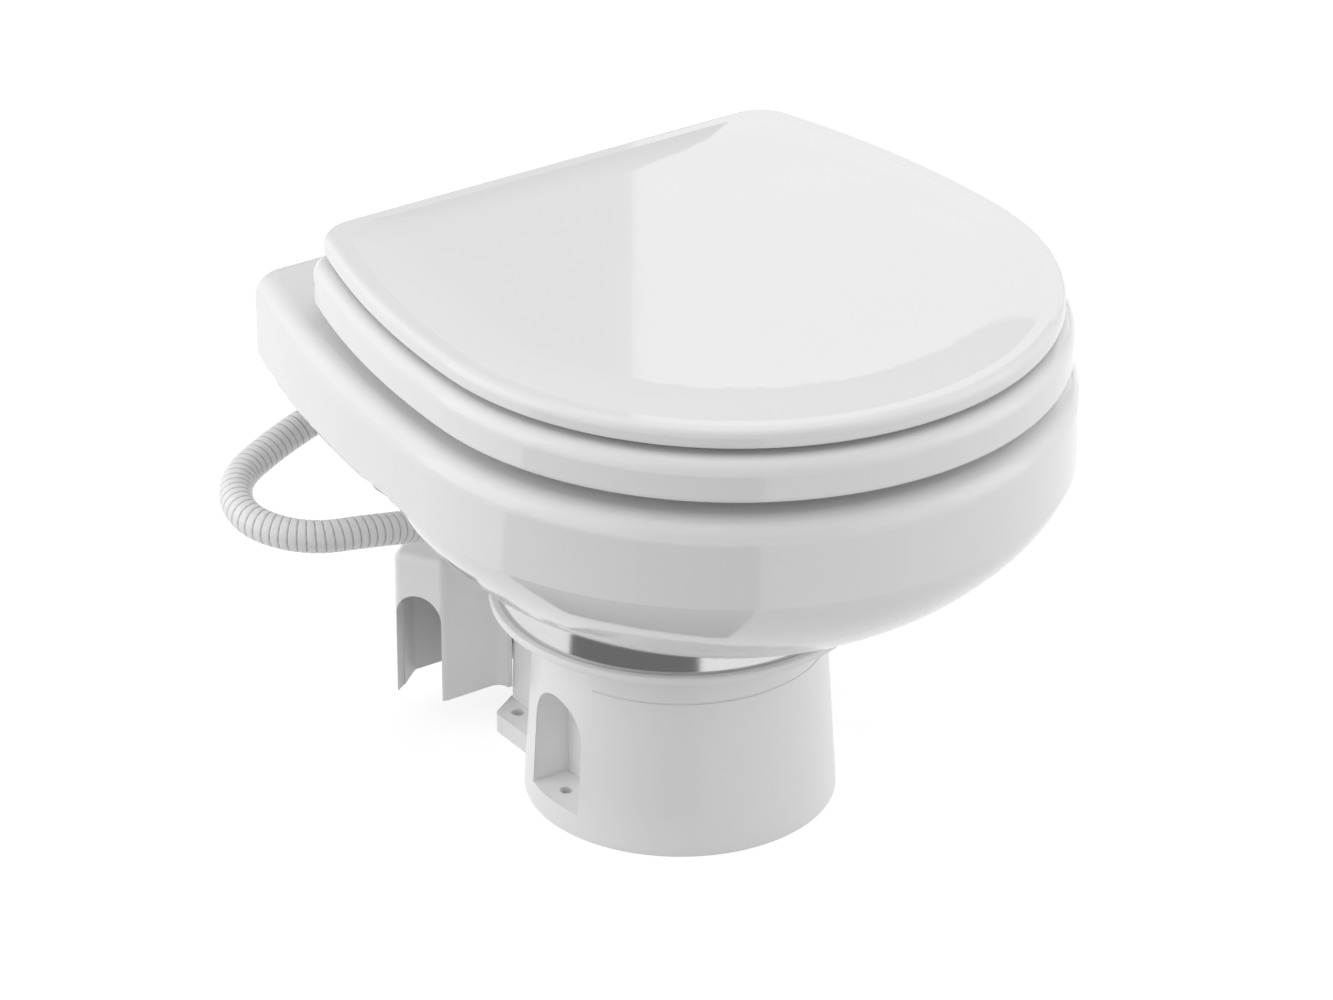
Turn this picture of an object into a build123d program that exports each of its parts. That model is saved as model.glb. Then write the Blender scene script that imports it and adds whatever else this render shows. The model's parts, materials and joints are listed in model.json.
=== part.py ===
from build123d import *
import math
import os

os.makedirs("parts", exist_ok=True)

# An electric macerating toilet for boats and vans. Millimetres, X to the right, the front towards -Y, Z up.
# The origin is on the pedestal's axis at the floor.

# Clearances
seat_gap = 0.3
running_gap = 0.05
slip_gap = 0.1
part_gap = 0.5

# Pedestal
foot_radius = 90.0
pedestal_top_radius = 82.6
pedestal_height = 120.5
pedestal_wall = 4.0
rim_radius = 109.0
rim_thickness = 5.0
rim_edge_round = 1.6
collar_inner_radius = 90.0
collar_thickness = 7.0
clamp_groove_height = 2.5
top_opening_radius = 76.0
seam_height = 95.0
seam_width = 0.8
seam_depth = 0.5

# Pockets in the pedestal's sides, with the front floor screws
pocket_half_width = 23.0
pocket_floor = 14.0
pocket_height = 66.0
pocket_inner_x = 62.0
pocket_wall = 4.0
front_hole_x = 76.0
front_hole_y = 4.0
floor_hole_radius = 3.75

# Rear wall and rear feet of the pedestal
tower_half_width = 38.0
tower_foot_half_width = 41.0
tower_rear_y = 117.0
tower_front_y = 40.0
tower_corner_round = 3.0
ear_thickness = 12.0
ear_half_width = 59.0
ear_front_y = 71.0
ear_corner_x = 40.0
ear_corner_y = 105.0
ear_round = 4.0
rear_hole_x = 48.0
rear_hole_y = 98.0

# Floor plate
floor_plate_thickness = 3.0
floor_boss_radius = 5.0
floor_boss_height = 24.0
floor_screw_radius = 1.8
floor_screw_head_radius = 3.2
floor_screw_head_height = 1.2
floor_screw_grip = 9.0

# Bowl
neck_radius = 104.5
foot_flange_thickness = 7.3
belly_height = 89.2
deck_thickness = 50.0
bowl_half_width = 195.0
bowl_front_y = -240.0
bowl_widest_y = -42.0
belly_rear_y = 125.0
side_fullness = 1.2
front_fullness = 1.5
deck_rear_y = 206.0
deck_rear_half_width = 156.0
deck_corner_round = 20.0
deck_top_round = 13.0
deck_bottom_round = 4.0
deck_plate = 10.0
deck_side_wall = 13.0
deck_rear_wall = 9.0
pocket_front_wall = 11.0
rim_opening_half_width = 128.0
rim_opening_half_depth = 150.0
rim_opening_y = -48.0
rim_lip = 14.0
basin_half_width = 170.0
basin_front_y = -218.0
basin_rear_y = 111.0
outlet_radius = 38.0
outlet_wall = 6.0
outlet_length = 9.0
foot_recess_depth = 8.0

# Bowl gasket and clamp band
gasket_thickness = 2.0
gasket_inner_radius = 84.0
band_thickness = 1.2
band_lip = 4.2
flange_radius = 103.0
lug_angle = 35.0
lug_thickness = 3.0
lug_reach = 18.0
lug_gap = 10.0
lug_edge = 3.0
clamp_bolt_radius = 2.5
clamp_nut_width = 8.0
clamp_nut_height = 4.5

# Seat and lid
bumper_height = 11.0
bumper_radius = 7.0
seat_thickness = 24.5
lid_gap = 4.5
lid_thickness = 15.0
lid_half_width = 182.2
lid_front_y = -233.0
lid_widest_y = -48.0
lid_rear_y = 137.2
lid_rear_half_width = 151.0
lid_corner_round = 25.0
seat_overhang = 5.4
seat_top_round = 9.0
seat_bottom_round = 3.0
seat_opening_half_width = 108.0
seat_opening_half_depth = 138.0
seat_opening_y = -62.0
seat_opening_round = 7.0
lid_crown = 3.5
lid_crown_width = 46.0
lid_edge_round = 5.0
lid_bottom_round = 2.5
lid_recess = 5.0
lid_rim_width = 16.0

# Hinge
hinge_y = 150.0
hinge_height = 33.5
hinge_pin_radius = 3.0
hinge_pin_head = 2.5
knuckle_radius = 6.0
knuckle_length = 14.0
knuckle_side_gap = 1.0
hinge_arm_thickness = 6.0
hinge_arm_root = 12.0
post_x = 80.0
post_length = 13.0
post_foot_radius = 15.0
post_foot_thickness = 4.0
stud_radius = 3.9
stud_length = 30.0
stud_hole_radius = 5.0
washer_radius = 11.0
washer_thickness = 2.0
wing_nut_radius = 8.0
wing_nut_height = 8.0
wing_reach = 15.0
wing_thickness = 3.6
wing_drop = 5.0

# Macerating pump
shelf_z = 84.0
shelf_thickness = 4.0
shelf_inner_radius = 44.0
chamber_radius = 42.0
chamber_wall = 4.0
chamber_height = 24.0
back_plate_thickness = 4.0
pump_flange_radius = 55.0
pump_flange_thickness = 3.5
pump_screw_radius = 1.8
pump_screw_reach = 51.0
pump_screw_count = 6
pump_screw_head_height = 2.2
pump_screw_head_rim = 1.4
ledge_drop = 5.0
ledge_width = 4.0
ledge_thickness = 2.0
cutter_plate_thickness = 2.5
cutter_slot_count = 6
blade_gap = 0.8
blade_radius = 34.0
blade_width = 12.0
blade_thickness = 2.5
blade_hub_radius = 10.0
blade_nut_height = 5.0
blade_nut_width = 13.0
impeller_gap = 2.0
impeller_radius = 36.0
impeller_height = 10.0
impeller_plate = 2.0
impeller_hub_radius = 10.0
vane_count = 6
vane_thickness = 2.4
shaft_radius = 4.0
shaft_tip = 1.0
seal_radius = 9.0
funnel_wall = 2.5
funnel_neck_radius = 38.0
funnel_seat_width = 10.0
funnel_rim_depth = 8.0
funnel_flange_radius = 86.0
funnel_flange_thickness = 2.0

# Motor
motor_radius = 32.0
motor_wall = 2.0
motor_height = 46.0
motor_top_thickness = 8.0
motor_flange_thickness = 2.0
motor_screw_radius = 1.5
motor_screw_reach = 43.8
motor_screw_grip = 8.0
end_cap_thickness = 2.5
bearing_radius = 8.0
bearing_height = 5.0
bearing_wall = 2.0
bearing_play = 0.5
brush_holder_height = 14.0
brush_length = 10.7
brush_size = 4.0
commutator_radius = 8.0
commutator_height = 6.0
commutator_drop = 7.5
armature_radius = 24.0
armature_height = 20.0
armature_drop = 15.5
armature_slots = 8
armature_slot_depth = 7.0
armature_slot_width = 3.0
magnet_gap = 1.0
magnet_split = 14.0

# Discharge line
outlet_z = 71.0
pipe_bore_radius = 8.5
pipe_wall = 2.0
check_seat_y = 98.0
check_sleeve = 12.0
check_chamber_radius = 14.5
check_wall = 2.5
check_seat_thickness = 2.0
check_end_reach = 5.0
check_flap_radius = 10.2
check_flap_thickness = 1.6
check_pin_radius = 1.2
check_eye_radius = 2.2
check_eye_length = 8.0
elbow_bore_radius = 7.5
elbow_wall = 2.0
elbow_flange_thickness = 2.5
discharge_reach = 128.0
discharge_tail = 22.0
discharge_tail_radius = 10.0
discharge_bead_width = 2.5
discharge_bead_height = 1.8

# Rear cover
cover_wall = 3.0
cover_bottom_z = 20.0
cover_top_z = 112.0
cover_front_y = 121.0
cover_front_half_width = 84.0
cover_side_half_width = 101.0
cover_side_y = 148.0
cover_rear_y = 166.0
cover_rear_half_width = 79.0
cover_corner_round = 5.0
cover_top_round = 5.0
cover_cove_radius = 7.0
arch_width = 29.0
arch_height = 66.0
cover_screw_x = 28.0
cover_screw_low_z = 32.0
cover_screw_high_z = 98.0
cover_boss_radius = 5.0
cover_screw_radius = 2.0
cover_screw_grip = 12.0
screw_head_radius = 4.0
screw_head_height = 2.4

# Rinse water valve
valve_x = -22.0
valve_y = 134.0
valve_z = 141.0
valve_turn = 20.0
valve_radius = 11.0
valve_length = 40.0
valve_hub_height = 13.0
valve_hub_radius = 12.5
valve_foot_depth = 12.0
valve_foot_length = 26.0
valve_foot_width = 20.0
valve_bore_radius = 4.0
valve_seat_bore = 2.0
valve_chamber_depth = 4.5
valve_duct_radius = 1.6
valve_duct_drop = 3.0
valve_web = 1.5
barb_length = 22.0
supply_tail_radius = 8.0
bracket_thickness = 2.0
bracket_half_width = 20.0
bracket_reach = 33.0
bracket_left_x = -38.0
bracket_low_z = 98.5
bracket_screw_x = 12.0
bracket_screw_z = 107.0
coil_radius = 12.5
coil_height = 20.0
coil_flat_width = 16.0
terminal_length = 8.0
terminal_width = 6.0
terminal_thickness = 0.8
sleeve_radius = 5.0
sleeve_wall = 1.1
sleeve_low = 7.0
sleeve_tip = 2.0
plunger_radius = 3.6
plunger_height = 20.0
spring_wire = 1.0

# Rinse hose and the bowl's inlet pipe
hose_radius = 9.5
hose_groove = 0.6
hose_bore_radius = 6.35
rib_pitch = 4.6
clip_thickness = 1.0
clip_width = 8.0
clip_inset = 6.0
clip_housing_height = 5.2
inlet_pipe_radius = 8.0
inlet_pipe_bore = 4.5
inlet_z = 256.0
inlet_bend = 13.0
inlet_tip_y = 104.0
inlet_end_length = 8.0
inlet_bore_gap = 1.2
inlet_nut_width = 28.0
inlet_nut_height = 8.0
inlet_gasket_radius = 15.0
inlet_gasket_thickness = 2.0

# The hose's route, from the valve to the bowl's inlet pipe, as chosen points.
hose_route = [
    (-41.1, 127.1, 141),
    (-76, 114.4, 141),
    (-112, 97, 155),
    (-147, 93, 164),
    (-185, 103, 165),
    (-206, 136, 169),
    (-193, 171, 175),
    (-157, 185, 182),
    (-122, 189, 191),
    (-88, 188, 203),
    (-50, 188, 203),
]

# Heights and places worked out from the values above
rim_top_z = pedestal_height + rim_thickness
collar_bottom_z = rim_top_z + clamp_groove_height
collar_top_z = collar_bottom_z + collar_thickness
bowl_foot_z = collar_top_z + gasket_thickness
foot_flange_top_z = bowl_foot_z + foot_flange_thickness
belly_bottom_z = foot_flange_top_z + clamp_groove_height
deck_underside_z = belly_bottom_z + belly_height
deck_top_z = deck_underside_z + deck_thickness
deck_plate_z = deck_top_z - deck_plate
seat_z = deck_top_z + bumper_height
seat_top_z = seat_z + seat_thickness
lid_z = seat_top_z + lid_gap
lid_top_z = lid_z + lid_thickness
lid_edge_top_z = lid_top_z - lid_crown
hinge_z = deck_top_z + hinge_height
seat_rear_y = lid_rear_y + seat_overhang
groove_radius = flange_radius - band_lip
seat_knuckle_x = post_x - post_length / 2 - knuckle_side_gap - knuckle_length / 2
lid_knuckle_x = seat_knuckle_x - knuckle_length - knuckle_side_gap
cone_slope = (foot_radius - pedestal_top_radius) / pedestal_height
cone_angle = math.degrees(math.atan(cone_slope))
pocket_top_z = pocket_floor + pocket_height
pocket_front_y = belly_rear_y + pocket_front_wall
floor_screw_reach = foot_radius - pedestal_wall - floor_boss_radius
chamber_floor_z = shelf_z - chamber_height
back_plate_z = chamber_floor_z - back_plate_thickness
shelf_top_z = shelf_z + shelf_thickness
cutter_plate_z = shelf_z - ledge_drop + ledge_thickness
blade_z = cutter_plate_z + cutter_plate_thickness + blade_gap
blade_top_z = blade_z + blade_thickness
motor_low_z = back_plate_z - motor_height
motor_inner_radius = motor_radius - motor_wall
armature_z = motor_low_z + armature_drop
commutator_z = motor_low_z + commutator_drop
pipe_radius = pipe_bore_radius + pipe_wall
check_radius = check_chamber_radius + check_wall
check_end_y = tower_rear_y + check_end_reach
check_face_y = check_seat_y + check_seat_thickness
check_pin_y = check_face_y + seat_gap + check_eye_radius
check_pin_z = outlet_z + check_flap_radius + check_pin_radius
elbow_radius = elbow_bore_radius + elbow_wall
discharge_y = (cover_front_y + cover_side_y) / 2
cover_inner_y = cover_rear_y - cover_wall
cover_gap_x = tower_foot_half_width + seat_gap
cover_cove_x = cover_gap_x + cover_cove_radius + cover_wall
barb_radius = hose_bore_radius - slip_gap


def disc(radius, height, z, x=0.0, y=0.0):
    """Upright cylinder from z upwards."""
    return extrude(Pos(x, y, z) * Circle(radius), height)


def tube(outer_radius, inner_radius, height, z):
    """Upright tube on the Z axis from z upwards."""
    ring = Circle(outer_radius) - Circle(inner_radius)
    return extrude(Pos(0, 0, z) * ring, height)


def block(x_low, x_high, y_low, y_high, z_low, z_high):
    """Box between the given faces."""
    middle = ((x_low + x_high) / 2, (y_low + y_high) / 2, (z_low + z_high) / 2)
    return Pos(*middle) * Box(x_high - x_low, y_high - y_low, z_high - z_low)


def rod(start, direction, length, radius):
    """Cylinder from a start point along a direction."""
    return extrude(Plane(origin=start, z_dir=direction) * Circle(radius), length)


def hex_rod(start, direction, length, width):
    """Six-sided prism, as wide across its flats as given."""
    side = RegularPolygon(width / 2, 6, major_radius=False)
    return extrude(Plane(origin=start, z_dir=direction) * side, length)


def mirrored(solid):
    """The solid and its mirror image across the YZ plane."""
    return [solid, mirror(solid, about=Plane.YZ)]


def save(name, shape):
    """Write one node, a solid or a group of separate solids."""
    node = Compound(children=list(shape)) if isinstance(shape, list) else shape
    node.label = name
    export_step(node, f"parts/{name}.step")


def oval(half_width, front_depth, rear_depth, middle_y, z):
    """Face of two half ellipses that meet at their widest line, middle_y."""
    front = EllipticalCenterArc((0, middle_y), half_width, front_depth, 180, arc_size=180)
    rear = EllipticalCenterArc((0, middle_y), half_width, rear_depth, 0, arc_size=180)
    return Pos(0, 0, z) * make_face(front + rear)


def d_outline(half_width, front_y, widest_y, rear_y, rear_half_width, corner_round, inset=0.0):
    """D-shaped face: half ellipse in front, curved sides, a straight rear edge with round corners."""
    wide = half_width - inset
    narrow = rear_half_width - inset
    back = rear_y - inset
    front = EllipticalCenterArc((0, widest_y), wide, widest_y - front_y - inset, 180, arc_size=180)
    right = TangentArc((wide, widest_y), (narrow, back), tangent=(0, 1))
    rear = Line((narrow, back), (-narrow, back))
    left = TangentArc((-wide, widest_y), (-narrow, back), tangent=(0, 1))
    face = make_face(front + right + rear + left)
    corners = face.vertices().group_by(Axis.Y)[-1]
    return fillet(corners, corner_round)


# Bowl, gasket and clamp band


def belly_section(z):
    """Outline of the bowl's round belly at a height."""
    depth = (deck_underside_z - z) / belly_height
    side_share = max(0.0, 1 - depth**side_fullness) ** (1 / side_fullness)
    front_share = max(0.0, 1 - depth**front_fullness) ** (1 / front_fullness)
    half_width = neck_radius + (bowl_half_width - neck_radius) * side_share
    front_reach = neck_radius + (-bowl_front_y - neck_radius) * front_share
    rear_reach = neck_radius + (belly_rear_y - neck_radius) * front_share
    middle_y = bowl_widest_y * front_share
    return oval(half_width, front_reach + middle_y, rear_reach - middle_y, middle_y, z)


def basin_section(depth_share, width_share, outlet_share):
    """Outline of the basin, whose middle moves from under the rim to the outlet."""
    z = deck_top_z - rim_lip - depth_share * (deck_top_z - rim_lip - belly_bottom_z)
    half_width = outlet_radius + (basin_half_width - outlet_radius) * width_share
    front_reach = outlet_radius + (-basin_front_y - outlet_radius) * width_share
    rear_reach = outlet_radius + (basin_rear_y - outlet_radius) * width_share
    middle_y = bowl_widest_y * (1 - outlet_share)
    return oval(half_width, front_reach + middle_y, rear_reach - middle_y, middle_y, z)


def make_bowl():
    """Ceramic bowl, its rear deck and its clamped foot, in one piece."""
    outline = d_outline(
        bowl_half_width, bowl_front_y, bowl_widest_y, deck_rear_y, deck_rear_half_width, deck_corner_round
    )
    slab = extrude(Pos(0, 0, deck_underside_z) * outline, deck_thickness)
    slab = fillet(slab.faces().sort_by(Axis.Z)[-1].edges(), deck_top_round)
    slab = fillet(slab.faces().sort_by(Axis.Z)[0].edges(), deck_bottom_round)
    turns = [90, 79, 67, 54, 40, 26, 12, 0]
    levels = [deck_underside_z - belly_height * math.sin(math.radians(turn)) ** 1.5 for turn in turns]
    belly = loft([belly_section(z) for z in levels])
    belt = extrude(belly_section(deck_underside_z), 2 * deck_bottom_round)
    foot = disc(groove_radius, clamp_groove_height, foot_flange_top_z)
    foot += disc(flange_radius, foot_flange_thickness, bowl_foot_z)
    foot += disc(outlet_radius + outlet_wall, outlet_length, bowl_foot_z - outlet_length)
    body = slab + belt + belly + foot
    opening = oval(
        rim_opening_half_width, rim_opening_half_depth, rim_opening_half_depth, rim_opening_y, deck_top_z - rim_lip
    )
    body -= extrude(opening, rim_lip + 1)
    shares = [(0.0, 1.0, 0.0), (0.28, 0.97, 0.05), (0.55, 0.78, 0.25), (0.78, 0.46, 0.6), (0.93, 0.16, 0.9)]
    sections = [basin_section(*share) for share in shares]
    sections.append(oval(outlet_radius, outlet_radius, outlet_radius, 0, belly_bottom_z))
    body -= loft(sections)
    body -= disc(outlet_radius, belly_bottom_z - bowl_foot_z + outlet_length + 1, bowl_foot_z - outlet_length - 1)
    recess_inner = outlet_radius + outlet_wall + pocket_front_wall
    body -= tube(gasket_inner_radius - 2, recess_inner, foot_recess_depth, bowl_foot_z)
    pocket = block(
        -deck_rear_half_width + deck_side_wall,
        deck_rear_half_width - deck_side_wall,
        pocket_front_y,
        deck_rear_y - deck_rear_wall,
        deck_underside_z - 1,
        deck_plate_z,
    )
    body -= fillet(pocket.edges().filter_by(Axis.Z), deck_corner_round / 2)
    for x in (-post_x, post_x):
        body -= disc(stud_hole_radius, deck_plate + 2, deck_plate_z - 1, x, hinge_y)
    start = (0, basin_rear_y - 25, inlet_z)
    body -= rod(start, (0, 1, 0), pocket_front_y - basin_rear_y + 26, inlet_pipe_radius + inlet_bore_gap)
    return body


def make_gasket():
    """Rubber ring between the pedestal's collar and the bowl's foot."""
    return tube(flange_radius - 1, gasket_inner_radius, gasket_thickness, collar_top_z)


def lug_bolt_start(side):
    """Point on the clamp bolt's axis at the outer face of a lug."""
    middle_z = (rim_top_z + belly_bottom_z) / 2
    return (neck_radius + lug_reach / 2, side * (lug_gap / 2 + lug_thickness), middle_z)


def make_clamp_band():
    """Steel band with inward lips, split at its two lugs."""
    low = rim_top_z + seat_gap
    high = belly_bottom_z - seat_gap
    lip = clamp_groove_height - 2 * seat_gap
    inner = neck_radius - band_thickness
    lip_radius = groove_radius + seat_gap
    band = tube(neck_radius, inner, high - low, low)
    band += tube(inner + band_thickness / 2, lip_radius, lip, low)
    band += tube(inner + band_thickness / 2, lip_radius, lip, high - lip)
    band -= block(0, neck_radius + 5, -lug_gap / 2, lug_gap / 2, low - 1, high + 1)
    lug = block(
        inner + band_thickness / 2,
        neck_radius + lug_reach,
        lug_gap / 2,
        lug_gap / 2 + lug_thickness,
        low + lug_edge,
        high - lug_edge,
    )
    band += lug
    band += mirror(lug, about=Plane.XZ)
    length = lug_gap + 2 * lug_thickness
    band -= rod(lug_bolt_start(-1), (0, 1, 0), length, clamp_bolt_radius + slip_gap)
    return Rot(0, 0, lug_angle) * band


def make_clamp_bolt():
    """Hex bolt through the band's lugs."""
    start = lug_bolt_start(-1)
    length = lug_gap + 2 * lug_thickness + clamp_nut_height + 3
    bolt = hex_rod(start, (0, -1, 0), clamp_nut_height, clamp_nut_width)
    bolt += rod(start, (0, 1, 0), length, clamp_bolt_radius)
    return Rot(0, 0, lug_angle) * bolt


def make_clamp_nut():
    """Nut on the clamp bolt."""
    start = lug_bolt_start(1)
    nut = hex_rod(start, (0, 1, 0), clamp_nut_height, clamp_nut_width)
    nut -= rod(start, (0, 1, 0), clamp_nut_height, clamp_bolt_radius + running_gap)
    return Rot(0, 0, lug_angle) * nut


# Pedestal


def cone_radius(z):
    """Outer radius of the pedestal's cone at a height."""
    return foot_radius - cone_slope * z


def pocket_shape(x_inner, half_width, floor_z):
    """Arched block that reaches from x_inner outwards through the pedestal's right side."""
    arch_z = pocket_top_z - pocket_half_width
    length = foot_radius + 10 - x_inner
    lower = block(x_inner, x_inner + length, -half_width, half_width, floor_z, arch_z)
    return lower + rod((x_inner, 0, arch_z), (1, 0, 0), length, half_width)


def tower_block(inset, rear_y, top_z):
    """Rear box of the pedestal, a little wider at its foot."""
    low = tower_foot_half_width - inset
    high = tower_half_width - inset
    side = make_face(Polyline((-low, 0), (low, 0), (high, top_z), (-high, top_z), close=True))
    return extrude(Plane(origin=(0, rear_y, 0), x_dir=(1, 0, 0), z_dir=(0, -1, 0)) * side, rear_y - tower_front_y)


def make_pedestal():
    """Pedestal moulding: cone, rim, collar, rear box, rear feet, side pockets and pump shelf."""
    cone = extrude(Circle(foot_radius), pedestal_height, taper=cone_angle)
    tower = tower_block(0, tower_rear_y, pedestal_height)
    rear_edges = tower.faces().sort_by(Axis.Y)[-1].edges().filter_by(lambda edge: abs(edge.tangent_at(0.5).Z) > 0.9)
    tower = fillet(rear_edges, tower_corner_round)
    plan = make_face(
        Polyline(
            (-ear_half_width, ear_front_y),
            (ear_half_width, ear_front_y),
            (ear_half_width, ear_corner_y),
            (ear_corner_x, tower_rear_y),
            (-ear_corner_x, tower_rear_y),
            (-ear_half_width, ear_corner_y),
            close=True,
        )
    )
    plan = fillet(plan.vertices().filter_by(lambda corner: corner.Y > ear_front_y + 1), ear_round)
    rim = disc(rim_radius, rim_thickness, pedestal_height)
    rim = fillet(rim.edges(), rim_edge_round)
    collar = disc(groove_radius, clamp_groove_height, rim_top_z)
    collar += disc(flange_radius, collar_thickness, collar_bottom_z)
    body = cone + tower + extrude(plan, ear_thickness) + rim + collar
    inner_height = pedestal_height - pedestal_wall
    hollow = extrude(Circle(foot_radius - pedestal_wall), inner_height, taper=cone_angle)
    hollow += tower_block(pedestal_wall, tower_rear_y - pedestal_wall, inner_height)
    body -= hollow
    body -= disc(top_opening_radius, rim_thickness + pedestal_wall + 2, inner_height - 1)
    body -= disc(collar_inner_radius, clamp_groove_height + collar_thickness + 1, rim_top_z)
    body += tube(cone_radius(shelf_z) - 1, shelf_inner_radius, shelf_thickness, shelf_z)
    envelope = extrude(Circle(foot_radius), pedestal_height, taper=cone_angle)
    for place in floor_screw_places():
        boss = place * disc(floor_boss_radius, floor_boss_height, floor_plate_thickness)
        body += boss & envelope
        body -= place * disc(floor_screw_radius, floor_screw_grip + 1, floor_plate_thickness - 1)
    walls = pocket_shape(pocket_inner_x - pocket_wall, pocket_half_width + pocket_wall, 0) & envelope
    recess = pocket_shape(pocket_inner_x, pocket_half_width, pocket_floor)
    for wall, cut in zip(mirrored(walls), mirrored(recess)):
        body += wall
        body -= cut
    for side in (-1, 1):
        body -= disc(floor_hole_radius, pocket_floor + 2, -1, side * front_hole_x, front_hole_y)
        body -= disc(floor_hole_radius, ear_thickness + 2, -1, side * rear_hole_x, rear_hole_y)
        for z in (cover_screw_low_z, cover_screw_high_z):
            start = (side * cover_screw_x, tower_rear_y - 1, z)
            body += rod(start, (0, 1, 0), cover_inner_y - tower_rear_y + 1, cover_boss_radius)
            tap = (side * cover_screw_x, cover_inner_y - cover_screw_grip, z)
            body -= rod(tap, (0, 1, 0), cover_screw_grip + 1, cover_screw_radius)
        start = (side * bracket_screw_x, tower_rear_y - pedestal_wall - 1, bracket_screw_z)
        body -= rod(start, (0, 1, 0), pedestal_wall + 2, cover_screw_radius)
    for place in pump_screw_places():
        body -= place * disc(pump_screw_radius, shelf_thickness + 2, shelf_z - 1)
    start = (0, tower_rear_y - pedestal_wall - 1, outlet_z)
    body -= rod(start, (0, 1, 0), pedestal_wall + 2, check_radius + part_gap)
    inner = cone_radius(seam_height) - seam_depth
    outer = cone_radius(seam_height) + 2
    top = seam_height + seam_width
    groove = make_face(Polyline((inner, seam_height), (outer, seam_height), (outer, top), (inner, top), close=True))
    return body - Rot(0, 0, 200) * revolve(Plane.XZ * groove, Axis.Z, revolution_arc=140)


def floor_screw_places():
    """Four places under the floor plate."""
    return [Rot(0, 0, angle) * Pos(floor_screw_reach, 0, 0) for angle in (45, 135, 225, 315)]


def make_floor_plate():
    """Plate that closes the pedestal from below, cut out round the pocket blocks."""
    plate = disc(foot_radius - pedestal_wall - part_gap, floor_plate_thickness, 0)
    side_x = pocket_inner_x - pocket_wall - part_gap
    side_y = pocket_half_width + pocket_wall + part_gap
    notch = block(side_x, foot_radius, -side_y, side_y, -1, floor_plate_thickness + 1)
    for cut in mirrored(notch):
        plate -= cut
    for place in floor_screw_places():
        plate -= place * disc(floor_screw_radius + slip_gap, floor_plate_thickness + 2, -1)
        plate -= place * disc(floor_screw_head_radius + slip_gap, floor_screw_head_height + seat_gap, 0)
    return plate


def make_floor_screws():
    """Four sunk screws that hold the floor plate."""
    head = disc(floor_screw_head_radius, floor_screw_head_height, seat_gap)
    shank = disc(floor_screw_radius - running_gap, floor_plate_thickness + floor_screw_grip - 1, seat_gap)
    return [place * (head + shank) for place in floor_screw_places()]


# Pump and motor


def pump_screw_places():
    """Places round the pump's flange."""
    step = 360 / pump_screw_count
    return [Rot(0, 0, step * index) * Pos(pump_screw_reach, 0, 0) for index in range(pump_screw_count)]


def motor_screw_places():
    """Places round the motor's flange."""
    return [Rot(0, 0, angle) * Pos(motor_screw_reach, 0, 0) for angle in (45, 135, 225, 315)]


def make_funnel():
    """Sump funnel from the bowl's outlet to the cutter."""
    top_radius = top_opening_radius - part_gap
    low_radius = funnel_neck_radius + funnel_wall + 1
    low_z = shelf_top_z + funnel_wall
    high_z = rim_top_z - funnel_rim_depth
    slope = (high_z - low_z) / (top_radius - low_radius)
    lift = funnel_wall * math.hypot(1, slope)
    flange_top = rim_top_z + funnel_flange_thickness
    points = [
        (funnel_neck_radius, shelf_top_z),
        (funnel_neck_radius + funnel_seat_width, shelf_top_z),
        (funnel_neck_radius + funnel_seat_width, low_z),
        (low_radius, low_z),
        (top_radius, high_z),
        (top_radius, rim_top_z),
        (funnel_flange_radius, rim_top_z),
        (funnel_flange_radius, flange_top),
        (top_radius - funnel_wall, flange_top),
        (top_radius - funnel_wall, high_z - funnel_wall * slope + lift),
        (funnel_neck_radius, low_z - (low_radius - funnel_neck_radius) * slope + lift),
    ]
    return revolve(Plane.XZ * make_face(Polyline(points, close=True)), Axis.Z)


def make_volute():
    """Pump chamber with its flange, cutter ledge and outlet pipe."""
    flange_z = shelf_z - pump_flange_thickness
    body = disc(chamber_radius + chamber_wall, chamber_height, chamber_floor_z)
    body += disc(pump_flange_radius, pump_flange_thickness, flange_z)
    pipe_start = (0, chamber_radius - 4, outlet_z)
    body += rod(pipe_start, (0, 1, 0), check_seat_y - chamber_radius + 4, pipe_radius)
    body -= disc(chamber_radius, chamber_height + 2, chamber_floor_z - 1)
    body += tube(chamber_radius + 1, chamber_radius - ledge_width, ledge_thickness, shelf_z - ledge_drop)
    body -= rod(pipe_start, (0, 1, 0), check_seat_y, pipe_bore_radius)
    for place in pump_screw_places():
        body -= place * disc(pump_screw_radius + slip_gap, pump_flange_thickness + 2, flange_z - 1)
    for place in motor_screw_places():
        body -= place * disc(motor_screw_radius, motor_screw_grip + 1, chamber_floor_z - 1)
    return body


def make_pump_screws():
    """Screws that hold the pump under the shelf."""
    low = shelf_z - pump_flange_thickness
    head = disc(pump_screw_radius + pump_screw_head_rim, pump_screw_head_height, low - pump_screw_head_height)
    shank = disc(pump_screw_radius - running_gap, pump_flange_thickness + shelf_thickness - seat_gap, low)
    return [place * (head + shank) for place in pump_screw_places()]


def make_cutter_plate():
    """Slotted steel plate that the blade sweeps."""
    plate = disc(chamber_radius - slip_gap, cutter_plate_thickness, cutter_plate_z)
    plate -= disc(shaft_radius + 2, cutter_plate_thickness + 2, cutter_plate_z - 1)
    slot = extrude(Pos(0, 0, cutter_plate_z - 1) * SlotCenterToCenter(14, 8), cutter_plate_thickness + 2)
    for index in range(cutter_slot_count):
        plate -= Rot(0, 0, index * 360 / cutter_slot_count) * Pos(22, 0, 0) * slot
    return plate


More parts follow.
